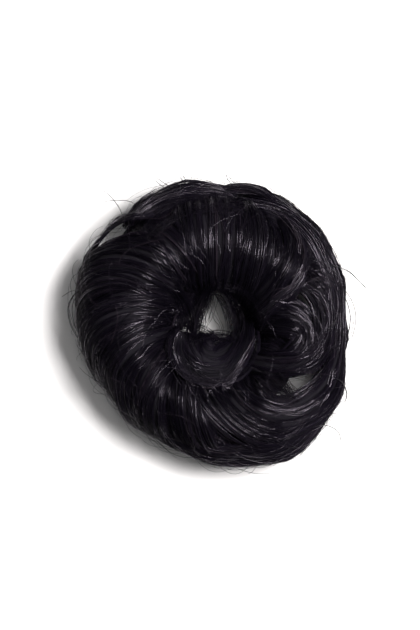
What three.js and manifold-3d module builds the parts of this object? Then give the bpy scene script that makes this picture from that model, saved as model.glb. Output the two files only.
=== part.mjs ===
// A hair scrunchie that lies flat: an elastic ring, a roll of hair wound on it, and curled locks of hair
// wrapped over the roll. Millimetres, +Z up. The origin is on the surface that it lies on, below the
// middle of its box.
import * as THREE from "three";
import { ParametricGeometry } from "three/addons/geometries/ParametricGeometry.js";
import { mergeVertices } from "three/addons/utils/BufferGeometryUtils.js";
import Module from "manifold-3d";

const wasm = await Module();
wasm.setup();

// Driving dimensions of the hair ring
const HOLE_RADIUS = 19; // inner wall of the ring, where it is tightest
const ROLL_CENTRE_Z = 22; // height of the roll's axis
const ROLL_HALF_HEIGHT = 29; // before the floor flattens the underside
const LOCK_GAP = 0.45; // kept between two pieces

// The ring's outline from above: how far the hair reaches from the middle of the hole, at every
// step of degrees from +X
const OUTLINE_STEP = 30;
const OUTLINE_REACH = [69, 74.5, 79, 77.5, 76.5, 76, 71, 64, 64, 68.5, 76.5, 74.5];

// The elastic ring and the hair wound on it, which holds the elastic in a groove on its inner side
const ELASTIC = { radius: 31.5, halfThick: 3, z: 14 };
const WOUND_ROLL = { radius: 38.5, halfThick: 8.5, z: 14, grooveGap: 0.6 };
const RING_SEGMENTS = 32;
const ELASTIC_SIDES = 8;
const WOUND_SIDES = 12;
const GROOVE_SIDES = 6;

// Facets of a lock: round its section, and the length that one step takes along it
const LOCK_SIDES = 8;
const LOCK_STEP = 12;

// The locks, the ones that lie on top first. A lock runs over the ring's form from one end to the other:
//   turn   degrees round the ring from +X, at both ends
//   wrap   degrees round the roll, at both ends: 0 on the outer rim, 90 on the crest, 180 at the hole,
//          -90 below
//   bend   above 1 the lock goes straight first and turns round the ring later, below 1 the other way
//   bow    degrees of wrap by which the middle swings away from a straight run
//   tilt   how far one edge is raised and the other sunk, as a share of its distance from the middle line
//   width  half the lock's width at its start, middle and end
//   thick  half its thickness at its start, middle and end
//   sink   depth of its upper side below the ring's form at its start, middle and end, negative where
//          it stands proud
const LOCKS = [
  {
    name: "lock_hole_left", turn: [86, 192], wrap: [160, 170], bend: 1, bow: 4, tilt: 0,
    width: [4, 8, 5], thick: [2.5, 3.5, 3], sink: [2, -4, -1],
  },
  {
    name: "lock_center_curl", turn: [445, 176], wrap: [190, 172], bend: 0.6, bow: -34, tilt: 0.85,
    width: [5, 10, 8], thick: [2, 2.4, 2], sink: [-2, -11.5, -9],
  },
  {
    name: "lock_top_left_loop", turn: [166, 117], wrap: [4, 46], bend: 1, bow: -25, tilt: 0,
    width: [2.5, 3, 2.5], thick: [1.6, 1.3, 1.6], sink: [0.8, 0.2, 0.8],
  },
  {
    name: "lock_turn_outer", turn: [66, 20], wrap: [38, 184], bend: 0.6, bow: -18, tilt: 0,
    width: [5, 10, 8], thick: [4, 4.5, 5], sink: [4, -0.5, 1],
  },
  {
    name: "lock_right_sweep", turn: [34, -48], wrap: [88, 193], bend: 1, bow: -78, tilt: 0,
    width: [5, 6, 6], thick: [3.5, 4, 4], sink: [3, -1, 1],
  },
  {
    name: "lock_bottom_sweep", turn: [270, 362], wrap: [190, 6], bend: 1.8, bow: -17, tilt: 0,
    width: [10, 18, 8.5], thick: [4, 5, 3.5], sink: [2, -0.5, 0],
  },
  {
    name: "lock_rim_loop_a", turn: [91, 62], wrap: [20, 22], bend: 1, bow: -9, tilt: 0,
    width: [3, 5, 3], thick: [1.8, 2.4, 1.8], sink: [4, -0.3, 3.5],
  },
  {
    name: "lock_rim_loop_b", turn: [76, -14], wrap: [20, 6], bend: 1, bow: -12, tilt: 0,
    width: [5, 11, 8], thick: [2, 4, 4], sink: [4, 1, 1],
  },
  {
    name: "lock_top_rim", turn: [131, 80], wrap: [18, 28], bend: 1, bow: -4, tilt: -0.25,
    width: [5, 12, 6], thick: [3, 4, 3], sink: [3, -0.5, 4],
  },
  {
    name: "lock_right_roll", turn: [16, -42], wrap: [205, 142], bend: 2, bow: -89, tilt: 0,
    width: [7, 10, 5], thick: [4, 5, 4], sink: [1, 1.5, 2],
  },
  {
    name: "lock_right_wall", turn: [-12, -20], wrap: [212, 92], bend: 1, bow: 0, tilt: 0,
    width: [7, 13, 9], thick: [4, 4.5, 4], sink: [3, 5, 6],
  },
  {
    name: "lock_top_roll", turn: [92, 92], wrap: [206, -10], bend: 1, bow: 0, tilt: 0,
    width: [9, 19, 28], thick: [4, 5.5, 4], sink: [1, 0, 10],
  },
  {
    name: "lock_top_left_fan", turn: [104, 126], wrap: [205, 36], bend: 1.6, bow: 0, tilt: 0,
    width: [6, 13, 8], thick: [4, 5, 4], sink: [1.5, 0.5, 3.5],
  },
  {
    name: "lock_turn_inner", turn: [78, 34], wrap: [24, 202], bend: 1, bow: 0, tilt: 0,
    width: [7, 15, 8], thick: [4, 5, 4], sink: [5, 1.5, 1],
  },
  {
    name: "lock_left_fan_a", turn: [121, 192], wrap: [205, -64], bend: 1.8, bow: 0, tilt: 0,
    width: [7, 18, 10], thick: [4, 5, 4], sink: [1, 0.5, 0],
  },
  {
    name: "lock_left_fan_b", turn: [149, 224], wrap: [205, -64], bend: 1.8, bow: 0, tilt: 0,
    width: [6, 13, 9], thick: [4, 5, 4], sink: [1, 0.5, 0],
  },
  {
    name: "lock_left_fan_c", turn: [174, 256], wrap: [205, -64], bend: 1.8, bow: 0, tilt: 0,
    width: [6, 13, 9], thick: [4, 5, 4], sink: [1, 0.5, 0],
  },
  {
    name: "lock_lower_left_a", turn: [204, 272], wrap: [205, -64], bend: 1.8, bow: 0, tilt: 0,
    width: [6, 12, 9], thick: [4, 5, 4], sink: [2, 1.5, 1],
  },
  {
    name: "lock_lower_left_b", turn: [240, 295], wrap: [205, -64], bend: 1.6, bow: 0, tilt: 0,
    width: [6, 15, 12], thick: [4, 5, 4], sink: [2, 2, 1],
  },
  {
    name: "lock_bottom_rim", turn: [242, 358], wrap: [12, 6], bend: 1, bow: 12, tilt: 0,
    width: [6, 16, 7], thick: [3.5, 4, 4], sink: [1, 0, 1],
  },
  {
    name: "lock_upper_right", turn: [84, -16], wrap: [44, 34], bend: 1, bow: -4, tilt: 0,
    width: [6, 11, 7], thick: [3.5, 4, 3.5], sink: [4, 3, 3],
  },
  {
    name: "lock_under_right", turn: [98, -34], wrap: [-24, -22], bend: 1, bow: 0, tilt: 0,
    width: [9, 16, 7], thick: [4, 5, 3.5], sink: [2, 1, 1],
  },
  {
    name: "lock_under_bottom", turn: [248, 342], wrap: [-52, -38], bend: 1, bow: 0, tilt: 0,
    width: [8, 16, 7], thick: [4, 5, 4], sink: [1, 1, 1],
  },
  {
    name: "lock_under_top", turn: [152, 58], wrap: [-70, -36], bend: 1, bow: 0, tilt: 0,
    width: [6, 20, 10], thick: [4, 5, 4], sink: [1, 1, 1],
  },
  {
    name: "lock_under_left", turn: [134, 196], wrap: [-24, -56], bend: 1, bow: 0, tilt: 0,
    width: [9, 12, 9], thick: [4, 5, 4], sink: [8, 1, 1],
  },
];

const HAIR = new THREE.MeshStandardMaterial({ color: 0x0d0b0f, roughness: 0.4, metalness: 0 });
const ELASTIC_COVER = new THREE.MeshStandardMaterial({ color: 0x08080a, roughness: 0.85, metalness: 0 });

const radians = THREE.MathUtils.degToRad;

// How far the outline reaches at an angle, smoothly between the rows of its table.
function reachAt(turn) {
  const rows = OUTLINE_REACH.length;
  const place = THREE.MathUtils.euclideanModulo(turn, 360) / OUTLINE_STEP;
  const row = Math.floor(place);
  const share = place - row;
  const near = [-1, 0, 1, 2].map((k) => OUTLINE_REACH[(row + k + rows) % rows]);
  const slopeIn = (near[2] - near[0]) / 2;
  const slopeOut = (near[3] - near[1]) / 2;
  const s2 = share * share;
  const s3 = s2 * share;
  return (
    near[1] * (2 * s3 - 3 * s2 + 1) + slopeIn * (s3 - 2 * s2 + share) +
    near[2] * (3 * s2 - 2 * s3) + slopeOut * (s3 - s2)
  );
}

// The roll's section at an angle: the radius of its axis round the hole, and half its width.
function rollAt(turn) {
  const reach = reachAt(turn);
  return { axis: (reach + HOLE_RADIUS) / 2, half: (reach - HOLE_RADIUS) / 2 };
}

// A point of the ring's form, at a depth below its surface.
function formPoint(turn, wrap, depth, target) {
  const roll = rollAt(turn);
  const r = roll.axis + (roll.half - depth) * Math.cos(radians(wrap));
  const z = ROLL_CENTRE_Z + (ROLL_HALF_HEIGHT - depth) * Math.sin(radians(wrap));
  return target.set(r * Math.cos(radians(turn)), r * Math.sin(radians(turn)), z);
}

// Where a lock's middle line is at a share of its length.
function pathAt(lock, s) {
  return {
    turn: lock.turn[0] + (lock.turn[1] - lock.turn[0]) * s ** lock.bend,
    wrap: lock.wrap[0] + (lock.wrap[1] - lock.wrap[0]) * s + lock.bow * Math.sin(Math.PI * s),
  };
}

// The millimetres that a degree of turn and a degree of wrap take on the form's surface.
function degreeSizes(turn, wrap) {
  const roll = rollAt(turn);
  const r = roll.axis + roll.half * Math.cos(radians(wrap));
  return { turn: radians(r), wrap: radians((roll.half + ROLL_HALF_HEIGHT) / 2) };
}

// The unit direction of a lock's middle line on the form's surface, as millimetres of turn and of wrap.
function headingAt(lock, s) {
  const NEAR = 1e-3;
  const before = pathAt(lock, Math.max(s - NEAR, 0));
  const after = pathAt(lock, Math.min(s + NEAR, 1));
  const size = degreeSizes((before.turn + after.turn) / 2, (before.wrap + after.wrap) / 2);
  return new THREE.Vector2(
    (after.turn - before.turn) * size.turn,
    (after.wrap - before.wrap) * size.wrap,
  ).normalize();
}

function lengthOf(lock) {
  const STEPS = 40;
  const a = new THREE.Vector3();
  const b = new THREE.Vector3();
  let length = 0;
  for (let i = 0; i < STEPS; i++) {
    const from = pathAt(lock, i / STEPS);
    const to = pathAt(lock, (i + 1) / STEPS);
    length += formPoint(from.turn, from.wrap, 0, a).distanceTo(formPoint(to.turn, to.wrap, 0, b));
  }
  return length;
}

// The value at a share of the length of a curve through a start, a middle and an end value.
function throughThree([start, middle, end], s) {
  return start * (2 * s - 1) * (s - 1) + middle * 4 * s * (1 - s) + end * s * (2 * s - 1);
}

// A lock as a closed surface: a flattened round section along its middle line, that runs out to a point
// at both ends. A grown lock is larger by that much all round, and longer, to cut its neighbours with a gap.
function lockGeometry(lock, grown = 0) {
  const stacks = Math.max(8, Math.round(lengthOf(lock) / LOCK_STEP));
  const past = (3 * grown) / LOCK_STEP;
  const surface = (u, s, target) => {
    const middle = pathAt(lock, s);
    const atPoint = s === 0 || s === 1;
    if (atPoint) {
      const inner = pathAt(lock, s === 0 ? 1 / stacks : 1 - 1 / stacks);
      middle.turn += (middle.turn - inner.turn) * past;
      middle.wrap += (middle.wrap - inner.wrap) * past;
    }
    const heading = headingAt(lock, s);
    const size = degreeSizes(middle.turn, middle.wrap);
    const thick = throughThree(lock.thick, s);
    const halfWidth = atPoint ? 0 : throughThree(lock.width, s) + grown;
    const halfThick = atPoint ? 0 : thick + grown;
    const across = halfWidth * Math.cos(2 * Math.PI * u);
    const middleDepth = throughThree(lock.sink, s) + thick + across * lock.tilt;
    const depth = middleDepth - halfThick * Math.sin(2 * Math.PI * u);
    const turn = middle.turn - (across * heading.y) / size.turn;
    const wrap = middle.wrap + (across * heading.x) / size.wrap;
    return formPoint(turn, wrap, depth, target);
  };
  return new ParametricGeometry(surface, LOCK_SIDES, stacks);
}

// The ring of hair wound on the elastic: a round section with a groove for the elastic on its inner side.
function woundRollGeometry() {
  const { radius, halfThick, z, grooveGap } = WOUND_ROLL;
  const groove = ELASTIC.halfThick + grooveGap;
  const apart = radius - ELASTIC.radius;
  const mouth = Math.acos((apart ** 2 + halfThick ** 2 - groove ** 2) / (2 * apart * halfThick));
  const inGroove = Math.acos((apart ** 2 + groove ** 2 - halfThick ** 2) / (2 * apart * groove));
  const profile = [];
  for (let i = 0; i <= WOUND_SIDES; i++) {
    const angle = -Math.PI + mouth + (2 * (Math.PI - mouth) * i) / WOUND_SIDES;
    profile.push(new THREE.Vector2(radius + halfThick * Math.cos(angle), z + halfThick * Math.sin(angle)));
  }
  for (let i = 1; i < GROOVE_SIDES; i++) {
    const angle = inGroove - (2 * inGroove * i) / GROOVE_SIDES;
    profile.push(new THREE.Vector2(ELASTIC.radius + groove * Math.cos(angle), z + groove * Math.sin(angle)));
  }
  profile.push(profile[0].clone());
  return new THREE.LatheGeometry(profile, RING_SEGMENTS).rotateX(Math.PI / 2);
}

function elasticGeometry(grown = 0) {
  return new THREE.TorusGeometry(ELASTIC.radius, ELASTIC.halfThick + grown, ELASTIC_SIDES, RING_SEGMENTS)
    .translate(0, 0, ELASTIC.z);
}

// A closed geometry as a solid: shared corners become one, and the flat triangles at a lock's tips
// are dropped.
function solidOf(geometry) {
  const bare = geometry.clone();
  bare.deleteAttribute("normal");
  bare.deleteAttribute("uv");
  const merged = mergeVertices(bare, 1e-4);
  const corners = [];
  for (let i = 0; i < merged.index.count; i += 3) {
    const [a, b, c] = [0, 1, 2].map((k) => merged.index.getX(i + k));
    if (a !== b && b !== c && c !== a) corners.push(a, b, c);
  }
  const build = (triVerts) =>
    new wasm.Manifold(
      new wasm.Mesh({ numProp: 3, vertProperties: merged.attributes.position.array, triVerts }),
    );
  const solid = build(new Uint32Array(corners));
  return solid.volume() > 0 ? solid : build(new Uint32Array(corners.reverse()));
}

function largestBody(solid) {
  return solid.decompose().reduce((a, b) => (b.volume() > a.volume() ? b : a));
}

function geometryOf(solid) {
  const mesh = solid.getMesh();
  return new THREE.BufferGeometry()
    .setAttribute("position", new THREE.BufferAttribute(mesh.vertProperties, 3))
    .setIndex(new THREE.BufferAttribute(mesh.triVerts, 1));
}

// All that lies below the floor, which flattens the underside.
function belowFloor() {
  const SIDE = 400;
  return solidOf(new THREE.BoxGeometry(SIDE, SIDE, SIDE).translate(0, 0, -SIDE / 2));
}

// Each lock is cut back from the elastic and from those that lie on top of it, and the wound roll from
// all of them.
function hairSolids() {
  const cutters = [belowFloor(), solidOf(elasticGeometry(LOCK_GAP))];
  const solids = [];
  for (const lock of LOCKS) {
    const whole = solidOf(lockGeometry(lock));
    solids.push([lock.name, largestBody(cutters.reduce((left, cutter) => left.subtract(cutter), whole))]);
    cutters.push(solidOf(lockGeometry(lock, LOCK_GAP)));
  }
  const wound = solidOf(woundRollGeometry());
  solids.push(["wound_roll", largestBody(cutters.reduce((left, cutter) => left.subtract(cutter), wound))]);
  return solids;
}

function assembly() {
  const group = new THREE.Group();
  const add = (name, geometry, material) => {
    const mesh = new THREE.Mesh(geometry, material);
    mesh.name = name;
    group.add(mesh);
  };
  add("elastic_band", elasticGeometry(), ELASTIC_COVER);
  for (const [name, solid] of hairSolids()) add(name, geometryOf(solid), HAIR);
  const middle = new THREE.Box3().setFromObject(group).getCenter(new THREE.Vector3());
  group.children.forEach((mesh) => mesh.position.set(-middle.x, -middle.y, 0));
  return group;
}

export default assembly();
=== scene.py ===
# A hair scrunchie of black wavy hair, lying flat on a white table and seen from straight above.
import math
from collections import namedtuple

import bpy
import numpy as np
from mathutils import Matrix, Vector
from mathutils.bvhtree import BVHTree


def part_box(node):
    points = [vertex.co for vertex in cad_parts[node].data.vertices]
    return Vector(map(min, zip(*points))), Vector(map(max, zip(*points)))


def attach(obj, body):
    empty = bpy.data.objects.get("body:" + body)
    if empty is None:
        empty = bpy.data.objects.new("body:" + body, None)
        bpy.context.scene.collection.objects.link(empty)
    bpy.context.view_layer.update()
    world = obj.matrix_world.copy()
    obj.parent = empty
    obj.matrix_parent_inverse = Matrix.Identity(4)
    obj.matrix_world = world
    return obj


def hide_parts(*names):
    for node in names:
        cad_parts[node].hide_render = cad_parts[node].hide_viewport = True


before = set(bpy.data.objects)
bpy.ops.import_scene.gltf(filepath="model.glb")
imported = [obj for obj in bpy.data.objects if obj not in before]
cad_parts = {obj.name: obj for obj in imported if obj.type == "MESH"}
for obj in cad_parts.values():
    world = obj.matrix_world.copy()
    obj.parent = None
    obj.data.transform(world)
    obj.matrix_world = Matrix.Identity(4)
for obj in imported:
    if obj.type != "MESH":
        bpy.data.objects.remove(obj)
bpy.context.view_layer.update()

MM = 0.001
SEED = 23

# The photograph's frame
PHOTO_WIDTH_PX = 420
PHOTO_HEIGHT_PX = 630
PHOTO_MM_PER_PX = 0.517
RING_CENTRE_PX = (213, 331)
CAMERA_DISTANCE = 1.5
SENSOR_MM = 36

# The ring's form, in millimetres, as in the CAD model
HOLE_RADIUS = 19
ROLL_CENTRE_Z = 22
ROLL_HALF_HEIGHT = 29
OUTLINE_STEP = 30
OUTLINE_REACH = np.array([69, 74.5, 79, 77.5, 76.5, 76, 71, 64, 64, 68.5, 76.5, 74.5])

# The elastic and the hair wound on it, as in the CAD model
RING_Z = 14
ELASTIC_RADIUS = 31.5
ELASTIC_HALF_THICK = 3
WOUND_RADIUS = 38.5
WOUND_HALF_THICK = 8.5
WOUND_MOUTH = 26  # degrees of the wound section left open toward the hole, to either side

# The locks, as in the CAD model. A lock runs over the ring's form from one end to the other:
#   turn   degrees round the ring from +X, at both ends
#   wrap   degrees round the roll, at both ends: 0 on the outer rim, 90 on the crest, 180 at the hole
#   bend   above 1 the lock goes straight first and turns round the ring later, below 1 the other way
#   bow    degrees of wrap by which the middle swings away from a straight run
#   tilt   how far one edge is raised and the other sunk, as a share of its distance from the middle line
#   width  half the lock's width at its start, middle and end
#   thick  half its thickness at its start, middle and end
#   sink   depth of its upper side below the ring's form at its start, middle and end
#   shine  share of its strands that are glossy, which isn't in the CAD model
USUAL_SHINE = 0.14  # where a row doesn't give it
Lock = namedtuple("Lock", "node turn wrap bend bow tilt width thick sink shine", defaults=[USUAL_SHINE])
LOCKS = [
    Lock("lock_hole_left", (86, 192), (160, 170), 1, 4, 0, (4, 8, 5), (2.5, 3.5, 3), (2, -4, -1), 0.05),
    Lock("lock_center_curl", (445, 176), (190, 172), 0.6, -34, 0.85, (5, 10, 8), (2, 2.4, 2),
         (-2, -11.5, -9), 0.06),
    Lock("lock_top_left_loop", (166, 117), (4, 46), 1, -25, 0, (2.5, 3, 2.5), (1.6, 1.3, 1.6),
         (0.8, 0.2, 0.8), 0.04),
    Lock("lock_turn_outer", (66, 20), (38, 184), 0.6, -18, 0, (5, 10, 8), (4, 4.5, 5), (4, -0.5, 1)),
    Lock("lock_right_sweep", (34, -48), (88, 193), 1, -78, 0, (5, 6, 6), (3.5, 4, 4), (3, -1, 1), 0.07),
    Lock("lock_bottom_sweep", (270, 362), (190, 6), 1.8, -17, 0, (10, 18, 8.5), (4, 5, 3.5), (2, -0.5, 0)),
    Lock("lock_rim_loop_a", (91, 62), (20, 22), 1, -9, 0, (3, 5, 3), (1.8, 2.4, 1.8), (4, -0.3, 3.5)),
    Lock("lock_rim_loop_b", (76, -14), (20, 6), 1, -12, 0, (5, 11, 8), (2, 4, 4), (4, 1, 1), 0.04),
    Lock("lock_top_rim", (131, 80), (18, 28), 1, -4, -0.25, (5, 12, 6), (3, 4, 3), (3, -0.5, 4), 0.07),
    Lock("lock_right_roll", (16, -42), (205, 142), 2, -89, 0, (7, 10, 5), (4, 5, 4), (1, 1.5, 2)),
    Lock("lock_right_wall", (-12, -20), (212, 92), 1, 0, 0, (7, 13, 9), (4, 4.5, 4), (3, 5, 6)),
    Lock("lock_top_roll", (92, 92), (206, -10), 1, 0, 0, (9, 19, 28), (4, 5.5, 4), (1, 0, 10), 0.2),
    Lock("lock_top_left_fan", (104, 126), (205, 36), 1.6, 0, 0, (6, 13, 8), (4, 5, 4), (1.5, 0.5, 3.5)),
    Lock("lock_turn_inner", (78, 34), (24, 202), 1, 0, 0, (7, 15, 8), (4, 5, 4), (5, 1.5, 1), 0.18),
    Lock("lock_left_fan_a", (121, 192), (205, -64), 1.8, 0, 0, (7, 18, 10), (4, 5, 4), (1, 0.5, 0)),
    Lock("lock_left_fan_b", (149, 224), (205, -64), 1.8, 0, 0, (6, 13, 9), (4, 5, 4), (1, 0.5, 0), 0.1),
    Lock("lock_left_fan_c", (174, 256), (205, -64), 1.8, 0, 0, (6, 13, 9), (4, 5, 4), (1, 0.5, 0), 0.09),
    Lock("lock_lower_left_a", (204, 272), (205, -64), 1.8, 0, 0, (6, 12, 9), (4, 5, 4), (2, 1.5, 1), 0.06),
    Lock("lock_lower_left_b", (240, 295), (205, -64), 1.6, 0, 0, (6, 15, 12), (4, 5, 4), (2, 2, 1), 0.08),
    Lock("lock_bottom_rim", (242, 358), (12, 6), 1, 12, 0, (6, 16, 7), (3.5, 4, 4), (1, 0, 1), 0.07),
    Lock("lock_upper_right", (84, -16), (44, 34), 1, -4, 0, (6, 11, 7), (3.5, 4, 3.5), (4, 3, 3), 0.06),
    Lock("lock_under_right", (98, -34), (-24, -22), 1, 0, 0, (9, 16, 7), (4, 5, 3.5), (2, 1, 1)),
    Lock("lock_under_bottom", (248, 342), (-52, -38), 1, 0, 0, (8, 16, 7), (4, 5, 4), (1, 1, 1)),
    Lock("lock_under_top", (152, 58), (-70, -36), 1, 0, 0, (6, 20, 10), (4, 5, 4), (1, 1, 1)),
    Lock("lock_under_left", (134, 196), (-24, -56), 1, 0, 0, (9, 12, 9), (4, 5, 4), (8, 1, 1)),
]

# Strands of a lock lie in clumps, each of which sways, twists and stands up on its own. In millimetres.
CLUMP_WIDTH = 1.9
FEWEST_CLUMPS = 4
STRANDS_PER_CLUMP = 14
CLUMP_PLACE = (0.2, 0.8)  # of a clump's middle in its room across the lock
CLUMP_TWIST = 0.45  # turns on the way along the lock
CLUMP_BREADTH = 0.62  # share of its width that a clump reaches to either side
BREADTH_CHANGE = 0.22  # how far that share opens and closes
BREADTH_CHANGES = (0.5, 2.0)  # how often it does so along the lock
CLUMP_SWAY = 0.9
CLUMP_SWAYS = (0.5, 1.6)  # how often it sways along the lock
CLUMP_DOME = 0.5  # how far a clump's middle stands above its edges
CLUMP_LIFT = 0.28
WAVE_SIZE = (0.15, 0.7)
WAVE_LENGTH = (22, 46)
LOCK_WAVE_SIZE = 0.8  # of the wave that all clumps of a lock share
LOCK_WAVE_LENGTH = (26, 42)
LOCK_WAVE_SLANT = 0.2  # share of a wave by which an edge is ahead of the middle
UPPER_SIDE = (-35, 215)  # degrees round a lock's section that its strands cover
STRAND_RADIUS = (0.09, 0.16)
STRAND_SIDES = 3  # so that one triangle closes each end
STRAND_STEP = 5.4  # length of one segment
FEWEST_STEPS = 14
STRAND_TIP = 0.4  # share of a strand's radius that doesn't thin out toward its ends
STRAND_INSET = 0.12  # share of a half wave that the thinning leaves out at each end
BEGIN_WITHIN = 0.06  # share of a lock's length within which its strands begin
END_WITHIN = 0.08  # share within which they end
TINT_RANGE = (0.02, 0.98)  # of a strand, from dark to light
CLUMP_TINT = 0.8  # the lightest that a clump can be
CLUMP_TINT_SHAPE = (1.7, 2.4)  # of the beta distribution that it is drawn from
TINT_CHANGE = (0.02, 0.12)  # mean and spread by which a strand differs from its clump
LOOSE_SHARE = 0.05
LOOSE_LIFT = (0.5, 2.0)
LOOSE_THICKNESS = 0.8  # of a loose strand, as a share of the others'
SHINY_RADIUS = (0.13, 0.2)  # of the glossy strands
UNDERCOAT_SHARE = 0.8  # of the lock's section that is filled below the strands
UNDERCOAT_SIDES = 20
UNDERCOAT_STEP = 3.0
UNDERCOAT_FEWEST = 12  # rings along a lock
UNDERCOAT_REACH = (0.07, 0.93)  # shares of the lock's length at its first and last ring
UNDERCOAT_TIPS = (0.05, 0.95)  # the same at its end points
END_TAPER = 18  # length over which a lock draws together at its ends
END_SHARE = 0.6  # of its section that it has at the very end
FLOOR_GAP = 0.3  # between the hair and the table
BURIED_START = 2  # hair nearer than this above a strand doesn't count
BURIED_DEPTH = 25  # a strand with other hair over it within this depth is left out
BURIED_SHARE = 0.97  # of a strand's length that lies below other hair

# Bake coordinates: what one side of a strand takes, what is left free at the ends, and what an end takes
STRAND_TEXEL = 1 / 340
STRAND_MARGIN = 0.01
UNDERCOAT_MARGIN = 0.02
UNDERCOAT_CAP = 0.015

# Material slots of a piece of hair
STRAND, SHINY, UNDERCOAT = range(3)

# Strands of the wound roll, and the elastic's knitted cover
WOUND_SKIN = (0.7, 4)  # depths of the faces of the skin below the strands
WOUND_STEPS = 96
WOUND_SIDES = 24  # of each face
WOUND_STRANDS = 380
WOUND_STRAND_STEPS = 14
WOUND_STRAND_DEPTH = 0.6
WOUND_STRAND_RADIUS = (0.135, 0.24)
WOUND_TINT_SHAPE = (2.2, 2.6)
WOUND_TINT_RANGE = (0.08, 0.97)
WOUND_PITCH = (15, 40)  # degrees round the ring that a strand advances on its way
WOUND_SWAY = 3  # degrees
ELASTIC_STEPS = 288
ELASTIC_SIDES = 18
ELASTIC_RIBS = 96
ELASTIC_RIB_STARTS = 3  # ribs that begin side by side round the section
ELASTIC_RIB_HEIGHT = 0.14

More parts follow.
